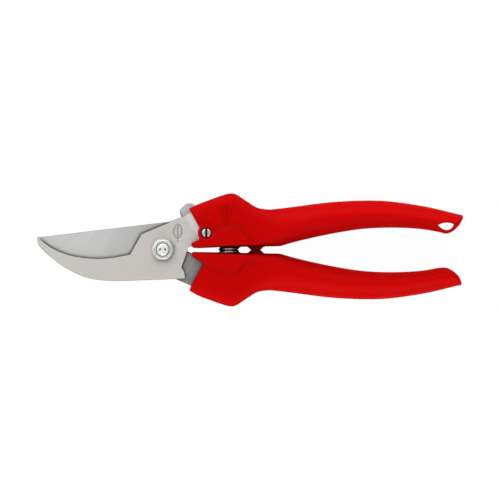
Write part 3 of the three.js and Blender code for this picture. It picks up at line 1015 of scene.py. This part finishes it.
class Graph(Nodes):
    """A material's nodes, with the place of a point in millimetres from the pivot."""

    def __init__(self, name):
        self.material = bpy.data.materials.new(name)
        self.material.use_nodes = True
        super().__init__(self.material.node_tree)
        self.shader = self.tree.nodes["Principled BSDF"]
        self.colour = None
        coordinates = self.tree.nodes.new("ShaderNodeTexCoord").outputs
        from_pivot = self.vector("SUBTRACT", coordinates["Object"], tuple(PIVOT))
        self.place = self.vector("SCALE", from_pivot, scale=1 / MM)
        self.x, self.y, self.z = self.split(self.place)
        _, self.facing_y, self.facing = self.split(coordinates["Normal"])

    def bump(self, height, strength, distance, under=None):
        node = self.node("ShaderNodeBump", Strength=strength, Distance=distance * MM, Height=height)
        if under is not None:
            self.set(node.inputs["Normal"], under)
        return node.outputs["Normal"]

    def edge(self, radius):
        """1 where the surface bends sharply within `radius`, 0 on open faces."""
        bevel = self.node("ShaderNodeBevel", Radius=radius * MM)
        bevel.samples = 4
        flat = self.tree.nodes.new("ShaderNodeNewGeometry").outputs["Normal"]
        return self.step(self.vector("DOT_PRODUCT", bevel.outputs[0], flat), 0.995, 0.9)

    def openness(self, distance):
        """1 on open faces, less in grooves and under things that are closer than `distance`."""
        shade = self.node("ShaderNodeAmbientOcclusion", Distance=distance * MM)
        shade.samples = 8
        return shade.outputs["AO"]

    def cloud(self, *settings):
        """Noise over the place, with the settings of `noise`."""
        return self.noise(self.place, *settings)

    def tint(self, amount, colour):
        """Mixes some of a colour into the colour so far."""
        self.colour = self.mix(amount, self.colour, colour)

    def finish(self, roughness, normal, metallic, specular=0.5):
        self.set(self.shader.inputs["Base Color"], self.colour)
        self.set(self.shader.inputs["Roughness"], roughness)
        self.set(self.shader.inputs["Normal"], normal)
        self.shader.inputs["Metallic"].default_value = metallic
        self.shader.inputs["Specular IOR Level"].default_value = specular
        return self.material


HANDLE_LEAF = (29.8, 16.9, 8.2, 4.6, 0.32)  # x, y, length, width and width of its lines
PLATE_LEAF = (7.1, 8.6, 7.4, 3.9, 0.30)


def leaf_mark(g, x, y, length, width, line):
    """1 on the lines of a plain leaf on the front that stands along y: outline, midrib and veins."""
    half = length / 2
    bow = (half**2 - (width / 2) ** 2) / width
    v = g.minus(g.y, y)
    side = g.size(g.minus(g.x, x))
    depth = g.minus(bow + width / 2, g.length(g.plus(side, bow), v))
    outline = g.step(g.size(depth), line, line * 0.5)
    stem = g.product(
        g.step(side, line * 0.9, line * 0.4),
        g.step(v, half + 0.4, half + 0.1),
        g.step(v, -half - 1.7, -half - 1.4),
    )
    slant = g.math("DIVIDE", g.minus(v, g.product(side, 0.9)), 1.55)
    near = g.size(g.minus(g.math("FRACT", slant), 0.5))
    vein = g.product(g.step(near, 0.14, 0.07), g.step(depth, 0.1, 0.3))
    mark = g.math("MAXIMUM", g.math("MAXIMUM", outline, stem), vein)
    return g.product(mark, g.step(g.facing, 0.5, 0.8))


RED = (0.49, 0.0008, 0.0007)
RED_CLOUD = (0.52, 0.0009, 0.0008)
RED_PAINTED_GRIP_LIGHT = (0.68, 0.0012, 0.0011)
RED_PAINTED_EDGE_HIGHLIGHT = (0.78, 0.004, 0.004)
RED_PAINTED_RIM_LIGHT = (0.76, 0.0080, 0.0075)
RED_PAINTED_INNER_SHADE = (0.26, 0.0004, 0.0004)
RED_PAINTED_CREASE_SHADE = (0.26, 0.0005, 0.0005)
RED_PAINTED_GROOVE_SHADE = (0.10, 0.0004, 0.0004)
RED_PAINTED_GAP_SHADE = (0.06, 0.0002, 0.0002)
RED_PAINTED_WALL_SHADE = (0.04, 0.0002, 0.0002)
RED_MARK = (0.22, 0.001, 0.001)
RED_PAINTED_SEAT_SHADOW = (0.05, 0.0003, 0.0003)


def colour_red(g, inward):
    """Painted light and shade: lighter on the grip, with painted highlights on sharp edges and painted rim
    light on faces that tilt outwards, and painted shade in creases, on faces towards the other handle and
    in the narrow space between the handles.
    """
    g.colour = g.mix(g.cloud(0.09), RED, RED_CLOUD)
    # painted light: the grip is coloured lighter than the shoulder, where it catches more light
    g.tint(g.step(g.x, 42.0, 78.0, 0.0, 0.36), RED_PAINTED_GRIP_LIGHT)
    # painted highlight along sharp edges and creases
    g.tint(g.product(g.edge(0.7), 0.15), RED_PAINTED_EDGE_HIGHLIGHT)
    tilt = g.product(g.facing_y, inward)
    # painted rim light on faces that tilt outwards, away from the other handle
    outward = g.product(g.step(tilt, -0.04, -0.40), g.step(tilt, -0.72, -0.45), 0.26)
    g.tint(outward, RED_PAINTED_RIM_LIGHT)
    # painted shade on the slope outside the raised wing
    beside_wing = g.product(g.step(g.size(g.y), 14.5, 12.5), g.step(g.x, 50.0, 42.0))
    g.tint(g.product(g.step(tilt, -0.08, -0.32), beside_wing, 0.42), RED_PAINTED_CREASE_SHADE)
    # painted shade on faces that tilt towards the other handle
    g.tint(g.step(tilt, 0.10, 0.75, 0.0, 0.26), RED_PAINTED_INNER_SHADE)
    # painted shade on steep walls towards the other handle, strongest by the spring
    by_spring = g.step(g.x, 43.0, 38.0, 0.45, 1.0)
    wall = g.product(g.step(tilt, 0.25, 0.70), g.step(g.x, 51.0, 43.0), by_spring, 0.85)
    g.tint(wall, RED_PAINTED_WALL_SHADE)
    # painted shade in grooves and at the foot of steps, from ambient occlusion
    g.tint(g.step(g.openness(3.5), 0.80, 0.98, 0.34, 0.0), RED_PAINTED_GROOVE_SHADE)
    # painted shade in the narrow space between the handles, from ambient occlusion
    narrow = g.product(g.step(g.openness(16.0), 0.95, 0.25), g.step(g.x, 74.0, 52.0))
    g.tint(g.product(narrow, g.step(tilt, -0.3, 0.05), by_spring), RED_PAINTED_GAP_SHADE)


def red_plastic(name, inward, marked):
    """`inward` is the y direction of the faces towards the other handle."""
    g = Graph(name)
    colour_red(g, inward)
    grain = g.cloud(5.0, 4.0, 0.6)
    scuff = g.cloud(0.9, 5.0, 0.7, (0.35, 1, 1))
    roughness = g.plus(g.step(scuff, 0.3, 0.75, 0.44, 0.56), g.product(grain, 0.06))
    seam = g.step(g.size(g.minus(g.z, MID_Z)), 0.06, 0.16)
    normal = g.bump(seam, 0.15, 0.03, g.bump(grain, 0.12, 0.02))
    if marked:
        mark = leaf_mark(g, *HANDLE_LEAF)
        g.tint(g.product(mark, 0.28), RED_MARK)
        # painted shadow in a ring round the screw head
        from_screw = g.vector("DISTANCE", g.combine(g.x, g.y), (*SCREW, 0.0))
        seat = g.product(g.step(from_screw, HEAD_RADIUS + 0.75, HEAD_RADIUS + 0.3), 0.9)
        g.tint(seat, RED_PAINTED_SEAT_SHADOW)
        normal = g.bump(mark, 0.9, 0.22, normal)
    return g.finish(roughness, normal, 0.0, 0.02)


def plate_steel():
    """Brushed along the tool, with a leaf on its front, painted shade on its edge faces, a painted shadow
    round the nut and painted light by the grip.
    """
    g = Graph("plate_steel")
    streak = g.cloud(1.0, 4.0, 0.6, (0.12, 4.0, 1.0))
    fine = g.cloud(1.0, 3.0, 0.6, (0.5, 18.0, 1.0))
    cloud = g.cloud(0.06)
    g.colour = g.mix(streak, (0.64, 0.617, 0.593), (0.80, 0.771, 0.742))
    g.tint(g.product(g.step(cloud, 0.35, 0.7), 0.3), (0.73, 0.70, 0.67))
    mark = leaf_mark(g, *PLATE_LEAF)
    g.tint(g.product(mark, 0.8), (0.30, 0.29, 0.28))
    # painted shade on the edge faces and bevels, which turn away from the top
    g.tint(g.step(g.facing, 0.97, 0.8), (0.10, 0.095, 0.09))
    # painted shadow round the nut, heavier on its right side
    near_nut = g.step(g.length(g.x, g.y), 9.0, 6.5)
    right_side = g.step(g.minus(g.x, g.y), -5.0, 5.0, 0.25, 0.85)
    shaded = g.product(near_nut, right_side, g.step(g.openness(2.0), 0.4, 0.98, 1.0, 0.0))
    g.tint(shaded, (0.20, 0.19, 0.18))
    # painted light on the plate beside the grip
    towards_grip = g.plus(g.product(g.x, 0.877), g.product(g.y, 0.481))
    g.tint(g.step(towards_grip, 15.5, 19.0, 0.0, 0.75), (1.0, 0.99, 0.97))
    roughness = g.plus(g.step(fine, 0.3, 0.7, 0.38, 0.50), g.product(cloud, 0.05))
    normal = g.bump(g.plus(fine, streak), 0.10, 0.02)
    normal = g.bump(g.minus(1.0, mark), 0.7, 0.12, normal)
    return g.finish(roughness, normal, 1.0)


GRIND_CENTRE = (-65.0, 33.0, 0.0)


def blade_steel():
    """Ground in arcs about a point beyond the tip, and in straight lines on the tang, with painted shade
    on its edge faces and a painted shadow beside the hook plate.
    """
    g = Graph("blade_steel")
    away = g.combine(g.vector("DISTANCE", g.place, GRIND_CENTRE), 0.0)
    arcs = g.noise(away, 0.9, 5.0, 0.7)
    broad = g.noise(away, 0.16, 2.0)
    across_tang = g.plus(g.product(g.x, 0.87), g.product(g.y, -0.5))
    lines = g.noise(g.combine(across_tang, 0.0), 0.9, 4.0, 0.65)
    on_tang = g.step(g.x, 2.0, 6.0)
    grind = g.plus(g.product(arcs, g.minus(1.0, on_tang)), g.product(lines, on_tang))
    g.colour = g.mix(g.step(grind, 0.25, 0.75), (0.75, 0.75, 0.742), (0.82, 0.82, 0.808))
    g.tint(g.product(g.step(broad, 0.42, 0.60), 0.16), (0.64, 0.64, 0.63))
    g.tint(g.step(g.x, -38.0, -2.0, 0.0, 0.40), (0.40, 0.40, 0.395))
    tang_shade = g.product(on_tang, g.step(grind, 0.35, 0.65, 0.76, 0.32))
    g.tint(tang_shade, (0.16, 0.155, 0.145))
    # painted shade on the edge faces and bevels
    g.tint(g.step(g.facing, 0.97, 0.8), (0.12, 0.12, 0.115))
    # painted shadow beside the hook plate and in recesses, from ambient occlusion
    g.tint(g.step(g.openness(1.6), 0.3, 0.95, 0.8, 0.0), (0.08, 0.08, 0.08))
    roughness = g.step(grind, 0.25, 0.75, 0.36, 0.48)
    return g.finish(roughness, g.bump(grind, 0.10, 0.03), 1.0)


def plated_steel():
    """Pale zinc plating, with painted shade in recesses and on the nut's corners on one side."""
    g = Graph("plated_steel")
    cloud = g.cloud(0.7, 4.0, 0.6)
    fine = g.cloud(12.0, 3.0, 0.6)
    g.colour = g.mix(cloud, (0.68, 0.68, 0.67), (0.78, 0.78, 0.77))
    # painted shade in recesses, from ambient occlusion
    g.colour = g.mix(g.step(g.openness(0.8), 0.25, 0.75), (0.05, 0.05, 0.05), g.colour)
    # painted shade on the nut's chamfered corners, heavier on its right side
    right_side = g.step(g.minus(g.x, g.y), -6.0, 6.0, 0.10, 0.80)
    on_nut = g.step(g.z, NUT_LOW, NUT_LOW + 0.4)
    corner = g.product(g.step(g.length(g.x, g.y), 4.45, 4.9), on_nut, right_side)
    g.tint(corner, (0.22, 0.22, 0.215))
    roughness = g.plus(g.step(cloud, 0.3, 0.7, 0.26, 0.36), g.product(fine, 0.06))
    return g.finish(roughness, g.bump(fine, 0.06, 0.01), 0.6)


def screw_steel():
    """Bright, with a slightly crowned head, painted shade across the middle of the head and a painted
    shadow in its slot.
    """
    g = Graph("screw_steel")
    cloud = g.cloud(1.1, 4.0, 0.6)
    g.colour = g.mix(cloud, (0.80, 0.80, 0.79), (0.92, 0.92, 0.91))
    in_head = g.step(g.z, HEAD_BASE - 0.1, HEAD_BASE + 0.1)
    u = g.minus(g.x, SCREW[0])
    v = g.minus(g.y, SCREW[1])
    # painted shade across the middle of the head
    middle = g.step(g.length(u, v), 1.75, 1.25, 0.0, 0.6)
    g.tint(g.product(middle, in_head), (0.42, 0.42, 0.41))
    # painted shadow in the slot
    in_slot = g.product(in_head, g.step(g.z, SCREW_HIGH - 0.3, SCREW_HIGH - 0.7))
    g.tint(in_slot, (0.01, 0.01, 0.01))
    crown = g.plus(g.product(u, u, -0.085), g.product(v, v, -0.085))
    roughness = g.step(cloud, 0.3, 0.7, 0.24, 0.34)
    return g.finish(roughness, g.bump(crown, 1.0, 1.0), 1.0)


DENT_AND_REFLECTION = (1.2, 0.1)
DENT_AND_REFLECTION_LONG = 0.90
DENT_AND_REFLECTION_WIDE = 0.50


def bolt_steel():
    """Pale plating, with two slanting shallow dents on the domed end, darkened as a painted reflection."""
    g = Graph("bolt_steel")
    cloud = g.cloud(0.9, 4.0, 0.6)
    g.colour = g.mix(cloud, (0.74, 0.74, 0.73), (0.82, 0.82, 0.81))
    u = g.minus(g.size(g.x), DENT_AND_REFLECTION[0])
    v = g.minus(g.y, DENT_AND_REFLECTION[1])
    lengthways = g.math("DIVIDE", g.minus(g.product(u, 0.61), g.product(v, 0.79)), DENT_AND_REFLECTION_LONG)
    sideways = g.math("DIVIDE", g.plus(g.product(u, 0.79), g.product(v, 0.61)), DENT_AND_REFLECTION_WIDE)
    on_end = g.step(g.z, NUT_HIGH, NUT_HIGH + 0.2)
    # two shallow dents whose dark colour is a painted reflection of dark things in the dome
    mark = g.product(g.step(g.length(lengthways, sideways), 1.0, 0.6), on_end)
    g.tint(g.product(mark, 0.95), (0.06, 0.06, 0.055))
    # painted shade in grooves, from ambient occlusion
    g.colour = g.mix(g.step(g.openness(1.0), 0.25, 0.75), (0.10, 0.10, 0.10), g.colour)
    roughness = g.step(cloud, 0.3, 0.7, 0.30, 0.40)
    return g.finish(roughness, g.bump(g.minus(1.0, mark), 0.5, 0.10), 0.2)


def spring_steel():
    g = Graph("spring_steel")
    cloud = g.cloud(1.6, 4.0, 0.6)
    g.colour = g.mix(cloud, (0.62, 0.54, 0.51), (0.80, 0.70, 0.66))
    # painted shade between the coils and under close parts, from ambient occlusion
    g.colour = g.mix(g.step(g.openness(1.6), 0.35, 0.80), (0.02, 0.015, 0.015), g.colour)
    roughness = g.step(cloud, 0.3, 0.7, 0.28, 0.45)
    return g.finish(roughness, g.bump(cloud, 0.15, 0.02), 1.0)


def lever_steel():
    g = Graph("lever_steel")
    cloud = g.cloud(0.5, 4.0, 0.6)
    fine = g.cloud(7.0, 4.0, 0.65)
    g.colour = g.mix(cloud, (0.60, 0.61, 0.605), (0.69, 0.695, 0.69))
    # painted shade on the rounded edges, which turn away from the top
    g.tint(g.step(g.facing, 0.95, 0.7, 0.0, 0.7), (0.34, 0.34, 0.335))
    roughness = g.plus(g.step(cloud, 0.3, 0.7, 0.40, 0.50), g.product(fine, 0.08))
    return g.finish(roughness, g.bump(fine, 0.2, 0.03), 1.0)


# ---------------------------------------------------------------- stage, in metres
FLOOR_HALF = 3.0
VIEW_CENTRE = (40.83, -0.19, MID_Z)  # in millimetres from the pivot
VIEW_WIDTH = 0.234
VIEW_DISTANCE = 6.0


def make_floor():
    """White to the camera with a trace of shadow, and an ordinary pale sheet to everything else."""
    mesh = bpy.data.meshes.new("floor")
    corners = [(x * FLOOR_HALF, y * FLOOR_HALF, 0) for x, y in ((-1, -1), (1, -1), (1, 1), (-1, 1))]
    mesh.from_pydata(corners, [], [(0, 1, 2, 3)])
    floor = bpy.data.objects.new("floor", mesh)
    bpy.context.scene.collection.objects.link(floor)
    material = bpy.data.materials.new("floor")
    material.use_nodes = True
    nodes = Nodes(material.node_tree)
    shader = nodes.tree.nodes["Principled BSDF"]
    seen = nodes.tree.nodes.new("ShaderNodeLightPath").outputs["Is Camera Ray"]
    nodes.set(shader.inputs["Base Color"], nodes.mix(seen, (0.80, 0.80, 0.80), (0.06, 0.06, 0.06)))
    nodes.set(shader.inputs["Roughness"], 0.9)
    nodes.set(shader.inputs["Specular IOR Level"], 0.0)
    nodes.set(shader.inputs["Emission Color"], (1.0, 1.0, 1.0))
    nodes.set(shader.inputs["Emission Strength"], nodes.product(seen, 0.965))
    mesh.materials.append(material)


def make_world():
    """Brightest low down on both long sides of the tool, dimmer past its ends and overhead."""
    world = bpy.data.worlds.new("studio")
    bpy.context.scene.world = world
    world.use_nodes = True
    nodes = Nodes(world.node_tree)
    direction = nodes.tree.nodes.new("ShaderNodeTexCoord").outputs["Generated"]
    x, y, z = nodes.split(direction)
    sides = nodes.step(nodes.size(y), 0.50, 0.92, 0.66, 2.5)
    ends = nodes.step(nodes.size(x), 0.35, 0.85, 1.0, 0.30)
    overhead = nodes.step(z, 0.95, 0.99, 1.0, 0.78)
    background = nodes.tree.nodes["Background"]
    nodes.set(background.inputs["Color"], (1.0, 1.0, 1.0))
    nodes.set(background.inputs["Strength"], nodes.product(sides, ends, overhead))


def make_light(name, place, size, power, aim=(0.0, 0.0, 0.0)):
    light = bpy.data.lights.new(name, "AREA")
    light.shape = "RECTANGLE"
    light.size, light.size_y = size
    light.energy = power
    holder = bpy.data.objects.new(name, light)
    holder.location = place
    holder.rotation_euler = (Vector(aim) - Vector(place)).to_track_quat("-Z", "Y").to_euler()
    bpy.context.scene.collection.objects.link(holder)


def make_lights():
    make_world()
    make_light("top_softbox", (0.0, 0.75, 0.85), (1.2, 0.5), 1.4)
    make_light("bottom_softbox", (0.0, -0.75, 0.85), (1.2, 0.5), 1.0)
    make_light("key", (-0.55, 0.30, 0.55), (0.25, 0.25), 1.0, (-0.02, 0.0, 0.0))


def make_camera():
    """Far away and square above the tool."""
    centre = PIVOT + np.array(VIEW_CENTRE) * MM
    data = bpy.data.cameras.new("camera")
    data.lens = data.sensor_width * VIEW_DISTANCE / VIEW_WIDTH
    data.clip_end = 20
    camera = bpy.data.objects.new("camera", data)
    camera.location = (centre[0], centre[1], centre[2] + VIEW_DISTANCE)
    bpy.context.scene.collection.objects.link(camera)
    bpy.context.scene.camera = camera
    bpy.context.scene.view_settings.view_transform = "Standard"


make_camera()
make_lights()
make_floor()
make_counter_blade(plate_steel())
make_cutting_blade(blade_steel())
plated = plated_steel()
spring_wire = spring_steel()
make_nut(plated)
make_bolt(bolt_steel())
make_washer(plated)
make_lever(lever_steel())
make_screw(screw_steel())
make_bush(plated)
make_wave_washer(spring_wire)
make_spring(spring_wire)
make_handles(red_plastic("red_plastic", 1, False), red_plastic("marked_red_plastic", -1, True))
